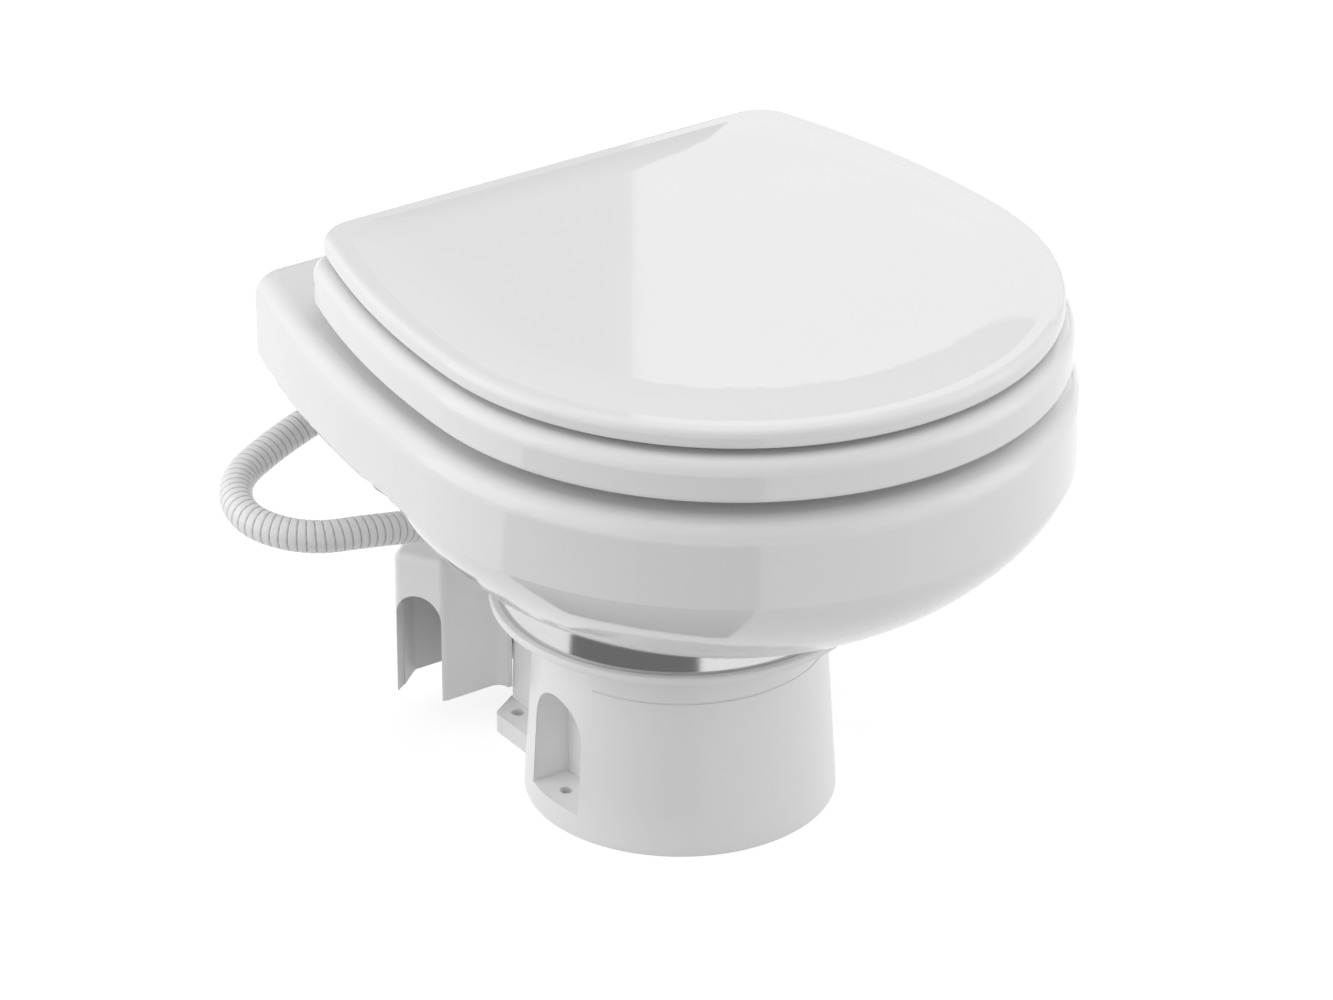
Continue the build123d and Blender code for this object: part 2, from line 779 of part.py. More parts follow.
def make_blade():
    """Two-armed blade with bevelled cutting edges."""
    arm = block(0, blade_radius - 1, -blade_width / 2, blade_width / 2, blade_z, blade_top_z)
    arm = chamfer(arm.edges().filter_by(Axis.X).group_by(Axis.Z)[0], blade_thickness / 2)
    blade = disc(blade_hub_radius, blade_thickness, blade_z)
    for angle in (0, 180):
        blade += Rot(0, 0, angle) * arm
    return blade - disc(shaft_radius + running_gap, blade_thickness + 2, blade_z - 1)


def make_blade_nut():
    """Hex nut that holds the blade on the shaft."""
    nut = hex_rod((0, 0, blade_top_z), (0, 0, 1), blade_nut_height, blade_nut_width)
    return nut - disc(shaft_radius + running_gap, blade_nut_height + 2, blade_top_z - 1)


def make_impeller():
    """Open impeller with curved vanes."""
    low = chamber_floor_z + impeller_gap
    body = disc(impeller_radius, impeller_plate, low)
    body += disc(impeller_hub_radius, impeller_height, low)
    middle = JernArc((impeller_hub_radius - 2, 0), (1, 0.25), impeller_radius - 2, 48)
    side = make_face(offset(middle, vane_thickness / 2, side=Side.BOTH).edges())
    vane = extrude(Pos(0, 0, low) * side, impeller_height)
    vane &= disc(impeller_radius, impeller_height, low)
    for index in range(vane_count):
        body += Rot(0, 0, index * 360 / vane_count) * vane
    return body - disc(shaft_radius + running_gap, impeller_height + 2, low - 1)


def make_shaft():
    """Shaft of the motor and the pump."""
    low = motor_low_z + bearing_play
    return disc(shaft_radius, blade_top_z + blade_nut_height + shaft_tip - low, low)


def make_back_plate():
    """Plate between the pump chamber and the motor, with the shaft seal's bore."""
    plate = disc(chamber_radius + chamber_wall, back_plate_thickness, back_plate_z)
    plate -= disc(seal_radius, back_plate_thickness + 2, back_plate_z - 1)
    for place in motor_screw_places():
        plate -= place * disc(motor_screw_radius + slip_gap, back_plate_thickness + 2, back_plate_z - 1)
    return plate


def make_shaft_seal():
    """Rubber seal round the shaft."""
    return tube(seal_radius - running_gap, shaft_radius + running_gap, back_plate_thickness, back_plate_z)


def make_motor_can():
    """Steel motor can, with a flange at the top and the upper bearing's seat."""
    flange_z = back_plate_z - motor_flange_thickness
    can = disc(motor_radius, motor_height, motor_low_z)
    can += disc(chamber_radius + chamber_wall, motor_flange_thickness, flange_z)
    can -= disc(motor_inner_radius, motor_height - motor_top_thickness, motor_low_z)
    can -= disc(shaft_radius + 1.5, motor_height + 2, motor_low_z - 1)
    can -= disc(bearing_radius, bearing_height + bearing_play, back_plate_z - bearing_height - bearing_play)
    for place in motor_screw_places():
        can -= place * disc(motor_screw_radius + slip_gap, motor_flange_thickness + 2, flange_z - 1)
    return can


def make_motor_screws():
    """Four screws through the motor's flange and the back plate into the pump chamber."""
    low = back_plate_z - motor_flange_thickness
    head = disc(motor_screw_radius + pump_screw_head_rim, pump_screw_head_height, low - pump_screw_head_height)
    length = motor_flange_thickness + back_plate_thickness + motor_screw_grip - 1
    shank = disc(motor_screw_radius - running_gap, length, low)
    return [place * (head + shank) for place in motor_screw_places()]


def make_bearing(z):
    """Ball bearing, as one ring."""
    return tube(bearing_radius - running_gap, shaft_radius + running_gap, bearing_height, z)


def make_end_cap():
    """Motor's lower cap with the lower bearing's seat."""
    cap = disc(motor_radius, end_cap_thickness, motor_low_z - end_cap_thickness)
    cap += disc(bearing_radius + bearing_wall, bearing_height + bearing_play, motor_low_z)
    return cap - disc(bearing_radius, bearing_height + bearing_play + 1, motor_low_z)


def make_magnets():
    """Two arc magnets inside the can."""
    ring = tube(motor_inner_radius - running_gap, armature_radius + magnet_gap, armature_height, armature_z)
    half = magnet_split / 2
    ring -= block(-half, half, -motor_radius, motor_radius, armature_z - 1, armature_z + armature_height + 1)
    return list(ring.solids())


def make_armature():
    """Slotted armature core."""
    top = armature_z + armature_height
    core = disc(armature_radius, armature_height, armature_z)
    core -= disc(shaft_radius + running_gap, armature_height + 2, armature_z - 1)
    half = armature_slot_width / 2
    slot = block(armature_radius - armature_slot_depth, armature_radius + 2, -half, half, armature_z - 1, top + 1)
    for index in range(armature_slots):
        core -= Rot(0, 0, index * 360 / armature_slots) * slot
    return core


def make_commutator():
    """Commutator ring on the shaft."""
    return tube(commutator_radius, shaft_radius + running_gap, commutator_height, commutator_z)


def brush_low_z():
    """Underside of the brushes, at the commutator's middle."""
    return commutator_z + commutator_height / 2 - brush_size / 2


def make_brushes():
    """Two carbon brushes."""
    inner = commutator_radius + seat_gap
    half = brush_size / 2
    low = brush_low_z()
    return mirrored(block(inner, inner + brush_length, -half, half, low, low + brush_size))


def make_brush_holder():
    """Ring on the end cap that guides the brushes."""
    inner = bearing_radius + bearing_wall + seat_gap
    ring = tube(motor_inner_radius - running_gap, inner, brush_holder_height, motor_low_z)
    half = brush_size / 2 + slip_gap
    reach = commutator_radius + brush_length + part_gap
    low = brush_low_z() - slip_gap
    return ring - block(-reach, reach, -half, half, low, low + brush_size + 2 * slip_gap)


# Discharge line


def make_check_housing():
    """Check valve's chamber, sleeved over the pump's outlet pipe and through the rear wall."""
    start_y = check_seat_y - check_sleeve
    body = rod((0, start_y, outlet_z), (0, 1, 0), check_end_y - start_y, check_radius)
    body -= rod((0, start_y - 1, outlet_z), (0, 1, 0), check_sleeve + 1, pipe_radius + running_gap)
    body -= rod((0, check_seat_y - 1, outlet_z), (0, 1, 0), check_seat_thickness + 2, pipe_bore_radius)
    body -= rod((0, check_face_y, outlet_z), (0, 1, 0), check_end_y - check_face_y + 1, check_chamber_radius)
    half = check_chamber_radius - 1
    pin = rod((-half, check_pin_y, check_pin_z), (1, 0, 0), 2 * half, check_pin_radius)
    outer = rod((0, start_y, outlet_z), (0, 1, 0), check_end_y - start_y, check_radius)
    return body + (pin & outer)


def make_check_flap():
    """Round rubber flap that hangs on its pin."""
    start = (0, check_face_y + seat_gap, outlet_z)
    flap = rod(start, (0, 1, 0), check_flap_thickness, check_flap_radius)
    half = check_eye_length / 2
    flap += rod((-half, check_pin_y, check_pin_z), (1, 0, 0), check_eye_length, check_eye_radius)
    bore = rod((-half - 1, check_pin_y, check_pin_z), (1, 0, 0), check_eye_length + 2, check_pin_radius + running_gap)
    return flap - bore


def elbow_sweep(radius, overshoot):
    """Round bar along the elbow's centre line, longer at both ends by the overshoot."""
    path = FilletPolyline(
        (0, check_end_y - overshoot, outlet_z),
        (0, discharge_y, outlet_z),
        (discharge_reach + overshoot, discharge_y, outlet_z),
        radius=discharge_y - check_end_y - part_gap,
    )
    return sweep(Plane(origin=path @ 0, z_dir=(0, 1, 0)) * Circle(radius), path)


def make_discharge_elbow():
    """Elbow from the check valve to the right, through the cover's arch, with a beaded plain hose tail."""
    flange = rod((0, check_end_y, outlet_z), (0, 1, 0), elbow_flange_thickness, check_radius)
    bead_x = discharge_reach - discharge_tail - discharge_bead_width
    bead = rod(
        (bead_x, discharge_y, outlet_z), (1, 0, 0), discharge_bead_width, elbow_radius + discharge_bead_height
    )
    tail_start = (discharge_reach - discharge_tail, discharge_y, outlet_z)
    tail = rod(tail_start, (1, 0, 0), discharge_tail, discharge_tail_radius)
    return elbow_sweep(elbow_radius, 0) + flange + bead + tail - elbow_sweep(elbow_bore_radius, 1)


# Rear cover


def cover_plan():
    """Plan of the rear cover."""
    points = [
        (-cover_front_half_width, cover_front_y),
        (-cover_side_half_width, cover_side_y),
        (-cover_rear_half_width, cover_rear_y),
        (cover_rear_half_width, cover_rear_y),
        (cover_side_half_width, cover_side_y),
        (cover_front_half_width, cover_front_y),
    ]
    face = make_face(Polyline(points, close=True))
    return fillet(face.vertices(), cover_corner_round)


def arch_tool():
    """Arched prism square to the cover's right oblique face."""
    run = Vector(cover_side_half_width - cover_front_half_width, cover_side_y - cover_front_y, 0).normalized()
    outward = Vector(run.Y, -run.X, 0)
    middle_x = (cover_front_half_width + cover_side_half_width) / 2
    spring_line = arch_height - arch_width / 2
    side = Pos(0, spring_line / 2 - 1) * Rectangle(arch_width, spring_line + 2)
    side += Pos(0, spring_line) * Circle(arch_width / 2)
    start = Vector(middle_x, discharge_y, cover_bottom_z) - outward * (3 * cover_wall)
    return extrude(Plane(origin=start, x_dir=run, z_dir=outward) * side, 6 * cover_wall)


def make_cover():
    """Rear cover: a thin shell, open below and towards the pedestal, with an arch in each side."""
    height = cover_top_z - cover_bottom_z
    shell = extrude(Pos(0, 0, cover_bottom_z) * cover_plan(), height)
    shell = fillet(shell.faces().sort_by(Axis.Z)[-1].edges(), cover_top_round)
    inside = offset(cover_plan(), -cover_wall)
    shell -= extrude(Pos(0, 0, cover_bottom_z) * inside, height - cover_wall)
    side_top = cover_top_z - cover_wall
    shell -= block(
        -cover_cove_x, cover_cove_x, cover_front_y - 1, cover_front_y + cover_wall, cover_bottom_z - 1, side_top
    )
    cove = Circle(cover_cove_radius + cover_wall) - Circle(cover_cove_radius)
    corner = Pos(-cover_cove_radius, cover_cove_radius) * Rectangle(2 * cover_cove_radius, 2 * cover_cove_radius)
    middle_y = cover_front_y - cover_cove_radius
    cove_wall = extrude(Pos(cover_cove_x, middle_y, cover_bottom_z) * (cove & corner), side_top - cover_bottom_z)
    for side in mirrored(cove_wall):
        shell += side
    for side in mirrored(arch_tool()):
        shell -= side
    for x in (-cover_screw_x, cover_screw_x):
        for z in (cover_screw_low_z, cover_screw_high_z):
            start = (x, cover_inner_y - 1, z)
            shell -= rod(start, (0, 1, 0), cover_wall + 2, cover_screw_radius + slip_gap)
    return shell


def make_cover_screws():
    """Four cross-head screws through the rear cover."""
    screws = []
    length = cover_wall + cover_screw_grip - 1
    for x in (-cover_screw_x, cover_screw_x):
        for z in (cover_screw_low_z, cover_screw_high_z):
            head = rod((x, cover_rear_y, z), (0, 1, 0), screw_head_height, screw_head_radius)
            head = fillet(head.faces().sort_by(Axis.Y)[-1].edges(), screw_head_height / 2)
            shank = rod((x, cover_rear_y, z), (0, -1, 0), length, cover_screw_radius - running_gap)
            cross = Box(4, 1.6, 0.9) + Box(0.9, 1.6, 4)
            screws.append(head + shank - Pos(x, cover_rear_y + screw_head_height, z) * cross)
    return screws


# Rinse water valve, whose local X axis is the water's way to the hose


def valve_place():
    """Plane at the valve's middle."""
    turn = math.radians(valve_turn)
    flow = (-math.cos(turn), -math.sin(turn), 0)
    return Plane(origin=(valve_x, valve_y, valve_z), x_dir=flow, z_dir=(0, 0, 1))


def make_valve_body():
    """Plastic valve body with a hose tail at each end and the plunger's seat."""
    half = valve_length / 2
    body = rod((-half, 0, 0), (1, 0, 0), valve_length, valve_radius)
    foot_x = valve_foot_length / 2
    foot_y = valve_foot_width / 2
    body += block(-foot_x, foot_x, -foot_y, foot_y, -valve_foot_depth, 0)
    body += disc(valve_hub_radius, valve_hub_height, 0)
    tail = half + barb_length
    body += rod((-tail, 0, 0), (1, 0, 0), tail, supply_tail_radius)
    body += rod((0, 0, 0), (1, 0, 0), tail, barb_radius)
    body -= disc(sleeve_radius, valve_hub_height + valve_chamber_depth + 1, -valve_chamber_depth)
    body -= rod((-tail - 1, 0, 0), (1, 0, 0), tail, valve_bore_radius)
    duct_x = sleeve_radius + valve_web + valve_seat_bore + valve_duct_radius
    duct_z = -valve_chamber_depth - valve_duct_drop
    bore_low = duct_z - valve_seat_bore
    body -= rod((sleeve_radius + valve_web, 0, 0), (1, 0, 0), tail, valve_bore_radius)
    body -= disc(valve_seat_bore, -valve_chamber_depth - bore_low + 1, bore_low)
    body -= rod((0, 0, duct_z), (1, 0, 0), duct_x, valve_duct_radius)
    body -= disc(valve_seat_bore, -bore_low, bore_low, duct_x)
    return valve_place() * body


def make_valve_bracket():
    """Bent sheet that carries the valve, screwed to the pedestal's rear wall."""
    foot_top = valve_z - valve_foot_depth
    sheet = block(
        -bracket_half_width,
        bracket_half_width,
        tower_rear_y,
        tower_rear_y + bracket_thickness,
        bracket_low_z,
        foot_top,
    )
    sheet += block(
        bracket_left_x,
        bracket_half_width,
        tower_rear_y,
        tower_rear_y + bracket_reach,
        foot_top - bracket_thickness,
        foot_top,
    )
    for x in (-bracket_screw_x, bracket_screw_x):
        start = (x, tower_rear_y - 1, bracket_screw_z)
        sheet -= rod(start, (0, 1, 0), bracket_thickness + 2, cover_screw_radius + slip_gap)
    return sheet


def make_bracket_screws():
    """Two screws that hold the bracket."""
    screws = []
    face = tower_rear_y + bracket_thickness
    for x in (-bracket_screw_x, bracket_screw_x):
        head = rod((x, face, bracket_screw_z), (0, 1, 0), screw_head_height / 2, screw_head_radius)
        length = bracket_thickness + pedestal_wall + 2
        shank = rod((x, face, bracket_screw_z), (0, -1, 0), length, cover_screw_radius - running_gap)
        screws.append(head + shank)
    return screws


def make_valve_coil():
    """Solenoid coil in its yoke, round the plunger's sleeve."""
    half = coil_flat_width / 2
    top = valve_hub_height + coil_height
    coil = disc(coil_radius, coil_height, valve_hub_height)
    coil += block(-coil_radius, coil_radius, -half, half, valve_hub_height, top)
    return valve_place() * (coil - disc(sleeve_radius + slip_gap, coil_height + 2, valve_hub_height - 1))


def make_coil_terminals():
    """Two flat terminals on the coil's side."""
    middle_z = valve_hub_height + coil_height / 2
    half = terminal_width / 2
    terminals = []
    for y in (-coil_flat_width / 4, coil_flat_width / 4):
        blade = block(
            -coil_radius - terminal_length,
            -coil_radius,
            y - terminal_thickness / 2,
            y + terminal_thickness / 2,
            middle_z - half,
            middle_z + half,
        )
        terminals.append(valve_place() * blade)
    return terminals


def make_valve_sleeve():
    """Closed steel sleeve that the plunger slides in."""
    top = valve_hub_height + coil_height + sleeve_tip
    sleeve = disc(sleeve_radius - running_gap, top - sleeve_low, sleeve_low)
    sleeve -= disc(sleeve_radius - sleeve_wall, top - sleeve_low - sleeve_wall, sleeve_low)
    return valve_place() * sleeve


def make_plunger():
    """Sprung plunger that closes the valve's seat."""
    return valve_place() * disc(plunger_radius, plunger_height, seat_gap - valve_chamber_depth)


def make_valve_spring():
    """Plunger's return spring, as its plain outer form."""
    low = 2 * seat_gap - valve_chamber_depth + plunger_height
    top = valve_hub_height + coil_height + sleeve_tip - sleeve_wall - seat_gap
    outer = plunger_radius - slip_gap
    return valve_place() * tube(outer, outer - spring_wire, top - low, low)


# Rinse hose


def hose_path():
    """Straight runs joined by tangent arcs, each as large as its runs allow, and the arcs' radii."""
    points = [Vector(*point) for point in hose_route]
    radii = []
    for before, here, after in zip(points, points[1:], points[2:]):
        first = here - before
        second = after - here
        half_turn = math.radians(first.get_angle(second)) / 2
        radii.append(0.45 * min(first.length, second.length) / math.tan(half_turn))
    return FilletPolyline(*points, radius=radii), radii


def hose_plane(path, share):
    """Plane square to the path, with a steady X axis."""
    tangent = path % share
    return Plane(origin=path @ share, x_dir=Vector(0, 0, 1).cross(tangent), z_dir=tangent)


def make_hose():
    """Ribbed hose with its bore: a ruled loft through four circles a rib, plain at both ends."""
    path, radii = hose_path()
    length = path.length
    print(f"hose length {length:.1f}, bend radii", [round(radius) for radius in radii])
    plain = 2 * hose_radius
    count = round((length - 2 * plain) / rib_pitch)
    pitch = (length - 2 * plain) / count
    stations = [(0.0, hose_radius), (plain, hose_radius)]
    for index in range(count):
        start = plain + index * pitch
        stations.append((start + 0.15 * pitch, hose_radius - hose_groove))
        stations.append((start + 0.35 * pitch, hose_radius - hose_groove))
        stations.append((start + 0.50 * pitch, hose_radius))
        stations.append((start + 1.00 * pitch, hose_radius))
    stations.append((length, hose_radius))
    rings = [hose_plane(path, distance / length) * Circle(radius) for distance, radius in stations]
    body = loft(rings, ruled=True)
    return body - sweep(hose_plane(path, 0) * Circle(hose_bore_radius), path)


def make_hose_clips():
    """Two worm-drive clips round the hose's ends."""
    inner = hose_radius + seat_gap
    ring = extrude(Circle(inner + clip_thickness) - Circle(inner), clip_width)
    ring += block(inner + 0.4, inner + clip_housing_height, -6, 6, 0.5, clip_width - 0.5)
    ring += rod((inner + clip_housing_height / 2, -11, clip_width / 2), (0, 1, 0), 18, 2.2)
    clips = []
    for end, neighbour in ((0, 1), (-1, -2)):
        place = Vector(*hose_route[end])
        way = (Vector(*hose_route[neighbour]) - place).normalized()
        clips.append(Plane(origin=place + way * clip_inset, x_dir=(0, 0, 1), z_dir=way) * ring)
    return clips


def make_inlet_pipe():
    """Bent pipe from the hose into the bowl's rinse bore, with a hose tail."""
    tail_x, tail_y, tail_z = hose_route[-1]
    shoulder_x = tail_x + inlet_end_length
    path = FilletPolyline(
        (0, inlet_tip_y, inlet_z),
        (0, tail_y, inlet_z),
        (0, tail_y, tail_z),
        (shoulder_x, tail_y, tail_z),
        radius=inlet_bend,
    )
    start = Plane(origin=(0, inlet_tip_y, inlet_z), z_dir=(0, 1, 0))
    body = sweep(start * Circle(inlet_pipe_radius), path)
    body += rod((shoulder_x, tail_y, tail_z), (-1, 0, 0), inlet_end_length - seat_gap, hose_radius)
    body += rod((shoulder_x, tail_y, tail_z), (-1, 0, 0), inlet_end_length + barb_length, barb_radius)
    body -= sweep(start * Circle(inlet_pipe_bore), path)
    length = inlet_end_length + barb_length + 2
    return body - rod((shoulder_x + 1, tail_y, tail_z), (-1, 0, 0), length, inlet_pipe_bore)


def make_inlet_gasket():
    """Rubber washer between the bowl and the inlet nut."""
    ring = Circle(inlet_gasket_radius) - Circle(inlet_pipe_radius + slip_gap)
    return extrude(Plane(origin=(0, pocket_front_y, inlet_z), z_dir=(0, 1, 0)) * ring, inlet_gasket_thickness)


def make_inlet_nut():
    """Hex nut that clamps the inlet pipe in the bowl."""
    start = (0, pocket_front_y + inlet_gasket_thickness, inlet_z)
    nut = hex_rod(start, (0, 1, 0), inlet_nut_height, inlet_nut_width)
    return nut - rod(start, (0, 1, 0), inlet_nut_height, inlet_pipe_radius + running_gap)


# Seat, lid and hinge


def hinge_bore():
    """Bore along the hinge axis, with the pins' running clearance."""
    reach = post_x + post_length
    return rod((-reach, hinge_y, hinge_z), (1, 0, 0), 2 * reach, hinge_pin_radius + running_gap)


def hinge_arms(middle_x, side_points):
    """A pair of arms from their side view, each with its knuckle on the hinge axis."""
    start_x = middle_x - knuckle_length / 2
    side = make_face(Polyline(side_points, close=True))
    arm = extrude(Plane(origin=(start_x, 0, 0), x_dir=(0, 1, 0), z_dir=(1, 0, 0)) * side, knuckle_length)
    arm += rod((start_x, hinge_y, hinge_z), (1, 0, 0), knuckle_length, knuckle_radius)
    return mirrored(arm)


def make_seat():
    """Seat ring with its two hinge knuckles."""
    outline = d_outline(
        lid_half_width + seat_overhang,
        lid_front_y - seat_overhang,
        lid_widest_y,
        seat_rear_y,
        lid_rear_half_width + seat_overhang,
        lid_corner_round + seat_overhang,
    )
    body = extrude(Pos(0, 0, seat_z) * outline, seat_thickness)
    body = fillet(body.faces().sort_by(Axis.Z)[-1].edges(), seat_top_round)
    body = fillet(body.faces().sort_by(Axis.Z)[0].edges(), seat_bottom_round)
    hole = oval(
        seat_opening_half_width, seat_opening_half_depth, seat_opening_half_depth, seat_opening_y, seat_z - 1
    )
    body -= extrude(hole, seat_thickness + 2)
    body = fillet(body.faces().sort_by(Axis.Z)[-1].inner_wires().edges(), seat_opening_round)
    high = seat_top_z - 1.5
    low = hinge_z - knuckle_radius + 1
    root = seat_rear_y - hinge_arm_root
    for arm in hinge_arms(seat_knuckle_x, [(root, low), (hinge_y, low), (hinge_y, high), (root, high)]):
        body += arm
    return body - hinge_bore()


def make_lid():
    """Crowned lid with a recess below and its two hinge knuckles."""
    plan = (lid_half_width, lid_front_y, lid_widest_y, lid_rear_y, lid_rear_half_width)
    body = extrude(Pos(0, 0, lid_z) * d_outline(*plan, lid_corner_round), lid_edge_top_z - lid_z)
    body = fillet(body.faces().sort_by(Axis.Z)[-1].edges(), lid_edge_round)
    body = fillet(body.faces().sort_by(Axis.Z)[0].edges(), lid_bottom_round)
    sink = 0.6
    crown = []
    for inset_share, rise_share in ((0.1, 0.0), (0.35, 0.46), (0.65, 0.85), (1.0, 1.0)):
        inset = lid_edge_round - 1 + (lid_crown_width - lid_edge_round) * inset_share
        z = lid_edge_top_z - sink + (lid_crown + sink) * rise_share
        crown.append(Pos(0, 0, z) * d_outline(*plan, lid_corner_round + inset / 2, inset))
    body += loft(crown)
    recess_round = lid_corner_round - lid_rim_width
    recess = Pos(0, 0, lid_z - 1) * d_outline(*plan, recess_round, lid_rim_width)
    body -= extrude(recess, lid_recess + 1)
    root = lid_rear_y - lid_rim_width
    low = lid_z + 1
    high = low + hinge_arm_thickness
    side_points = [
        (root, low),
        (root, high),
        (lid_rear_y + 1, high),
        (hinge_y + 0.5 * knuckle_radius, hinge_z + 0.8 * knuckle_radius),
        (hinge_y, hinge_z),
        (hinge_y - knuckle_radius, hinge_z),
        (hinge_y - knuckle_radius, low),
    ]
    for arm in hinge_arms(lid_knuckle_x, side_points):
        body += arm
    return body - hinge_bore()


def make_seat_bumpers():
    """Four rubber bumpers under the seat, which rest on the bowl's rim."""
    height = bumper_height - seat_gap
    places = [(-150, -60), (150, -60), (-110, 108), (110, 108)]
    return [disc(bumper_radius, height, seat_z - height, x, y) for x, y in places]


def make_lid_bumpers():
    """Four rubber bumpers in the lid's recess, which rest on the seat."""
    height = lid_gap + lid_recess - seat_gap
    places = [(-144, -60), (144, -60), (-105, 108), (105, 108)]
    return [disc(bumper_radius - 1, height, lid_z + lid_recess - height, x, y) for x, y in places]


def make_hinge_posts():
    """Two hinge posts with their studs through the deck."""
    half = post_length / 2
    post = disc(post_foot_radius, post_foot_thickness, deck_top_z, post_x, hinge_y)
    post += block(
        post_x - half, post_x + half, hinge_y - knuckle_radius, hinge_y + knuckle_radius, deck_top_z, hinge_z
    )
    post += rod((post_x - half, hinge_y, hinge_z), (1, 0, 0), post_length, knuckle_radius)
    post += disc(stud_radius, stud_length, deck_top_z - stud_length, post_x, hinge_y)
    return mirrored(post - hinge_bore())


def make_hinge_pins():
    """Two headed pins, each through a post, a seat knuckle and a lid knuckle."""
    inner_x = lid_knuckle_x - knuckle_length / 2 - knuckle_side_gap
    outer_x = post_x + post_length / 2
    pin = rod((inner_x, hinge_y, hinge_z), (1, 0, 0), outer_x - inner_x, hinge_pin_radius)
    pin += rod((outer_x, hinge_y, hinge_z), (1, 0, 0), hinge_pin_head, knuckle_radius - 1)
    return mirrored(pin)


def make_hinge_washers():
    """Two washers under the deck."""
    ring = tube(washer_radius, stud_radius + slip_gap, washer_thickness, deck_plate_z - washer_thickness)
    return mirrored(Pos(post_x, hinge_y, 0) * ring)


def make_wing_nuts():
    """Two plastic wing nuts under the washers."""
    high = deck_plate_z - washer_thickness
    half = wing_thickness / 2
    nut = disc(wing_nut_radius, wing_nut_height, high - wing_nut_height)
    wing = block(wing_nut_radius - 3, wing_reach, -half, half, high - wing_nut_height - wing_drop, high - 1)
    nut += wing
    nut += Rot(0, 0, 180) * wing
    nut -= disc(stud_radius + running_gap, wing_nut_height + 2, high - wing_nut_height - 1)
    return mirrored(Pos(post_x, hinge_y, 0) * nut)


nodes = {
    "bowl": make_bowl(),
    "bowl_gasket": make_gasket(),
    "clamp_band": make_clamp_band(),
    "clamp_bolt": make_clamp_bolt(),
    "clamp_nut": make_clamp_nut(),
    "pedestal_base": make_pedestal(),
    "floor_plate": make_floor_plate(),
    "floor_screws": make_floor_screws(),
    "sump_funnel": make_funnel(),
    "pump_volute": make_volute(),
    "pump_screws": make_pump_screws(),
    "cutter_plate": make_cutter_plate(),
    "cutter_blade": make_blade(),
    "blade_nut": make_blade_nut(),
    "impeller": make_impeller(),
    "motor_shaft": make_shaft(),
    "pump_back_plate": make_back_plate(),
    "shaft_seal": make_shaft_seal(),
    "motor_can": make_motor_can(),
    "motor_screws": make_motor_screws(),
    "upper_bearing": make_bearing(back_plate_z - bearing_height - bearing_play / 2),
    "lower_bearing": make_bearing(motor_low_z + bearing_play / 2),
    "motor_end_cap": make_end_cap(),
    "motor_magnets": make_magnets(),
    "armature": make_armature(),
    "commutator": make_commutator(),
    "motor_brushes": make_brushes(),
    "brush_holder": make_brush_holder(),
    "check_valve_housing": make_check_housing(),
    "check_valve_flap": make_check_flap(),
    "discharge_elbow": make_discharge_elbow(),
    "rear_cover": make_cover(),
    "rear_cover_screws": make_cover_screws(),
    "valve_bracket": make_valve_bracket(),
    "valve_bracket_screws": make_bracket_screws(),
    "valve_body": make_valve_body(),
    "valve_coil": make_valve_coil(),
    "coil_terminals": make_coil_terminals(),
    "valve_sleeve": make_valve_sleeve(),
    "valve_plunger": make_plunger(),
    "valve_spring": make_valve_spring(),
    "rinse_hose": make_hose(),
    "hose_clips": make_hose_clips(),
    "bowl_inlet_pipe": make_inlet_pipe(),
    "inlet_gasket": make_inlet_gasket(),
    "inlet_nut": make_inlet_nut(),
    "seat_ring": make_seat(),
    "seat_bumpers": make_seat_bumpers(),
    "lid_panel": make_lid(),
    "lid_bumpers": make_lid_bumpers(),
    "hinge_posts": make_hinge_posts(),
    "hinge_pins": make_hinge_pins(),
    "hinge_washers": make_hinge_washers(),
    "hinge_wing_nuts": make_wing_nuts(),
}

for name, shape in nodes.items():
    save(name, shape)
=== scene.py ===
import json
import math
import bpy
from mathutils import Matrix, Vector


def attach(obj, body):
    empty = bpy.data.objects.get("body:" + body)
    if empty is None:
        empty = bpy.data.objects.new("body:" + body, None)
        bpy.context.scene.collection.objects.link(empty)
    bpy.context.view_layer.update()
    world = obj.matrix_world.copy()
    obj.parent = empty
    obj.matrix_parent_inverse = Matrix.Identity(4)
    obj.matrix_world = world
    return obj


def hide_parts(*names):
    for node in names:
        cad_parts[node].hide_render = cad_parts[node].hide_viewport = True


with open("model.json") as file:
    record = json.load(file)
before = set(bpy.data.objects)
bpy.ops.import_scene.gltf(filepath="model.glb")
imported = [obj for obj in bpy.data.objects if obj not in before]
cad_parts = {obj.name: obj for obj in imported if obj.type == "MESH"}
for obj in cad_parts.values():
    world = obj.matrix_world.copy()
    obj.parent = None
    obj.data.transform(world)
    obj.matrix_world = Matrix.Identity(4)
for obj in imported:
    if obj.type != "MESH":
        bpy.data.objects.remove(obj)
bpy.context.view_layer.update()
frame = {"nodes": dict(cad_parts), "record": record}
scene = bpy.context.scene
nodes = frame["nodes"]

# Camera, at the photograph's viewing angle, in metres

azimuth = math.radians(-34.269)
elevation = math.radians(27.557)
towards_camera = Vector((
    math.sin(azimuth) * math.cos(elevation),
    -math.cos(azimuth) * math.cos(elevation),
    math.sin(elevation),
))
camera_data = bpy.data.cameras.new("camera")
camera_data.lens = 158.79
camera_data.sensor_width = 36.0
camera_data.clip_start = 0.1
camera_data.clip_end = 60.0
camera = bpy.data.objects.new("camera", camera_data)
camera.location = (-1.6623, -2.4257, 1.7148)
camera.rotation_mode = "QUATERNION"
camera.rotation_quaternion = (-towards_camera).to_track_quat("-Z", "Y")
scene.collection.objects.link(camera)
scene.camera = camera
camera_right = Vector((math.cos(azimuth), math.sin(azimuth), 0.0))
camera_front = Vector((-math.sin(azimuth), math.cos(azimuth), 0.0))


# Small helpers

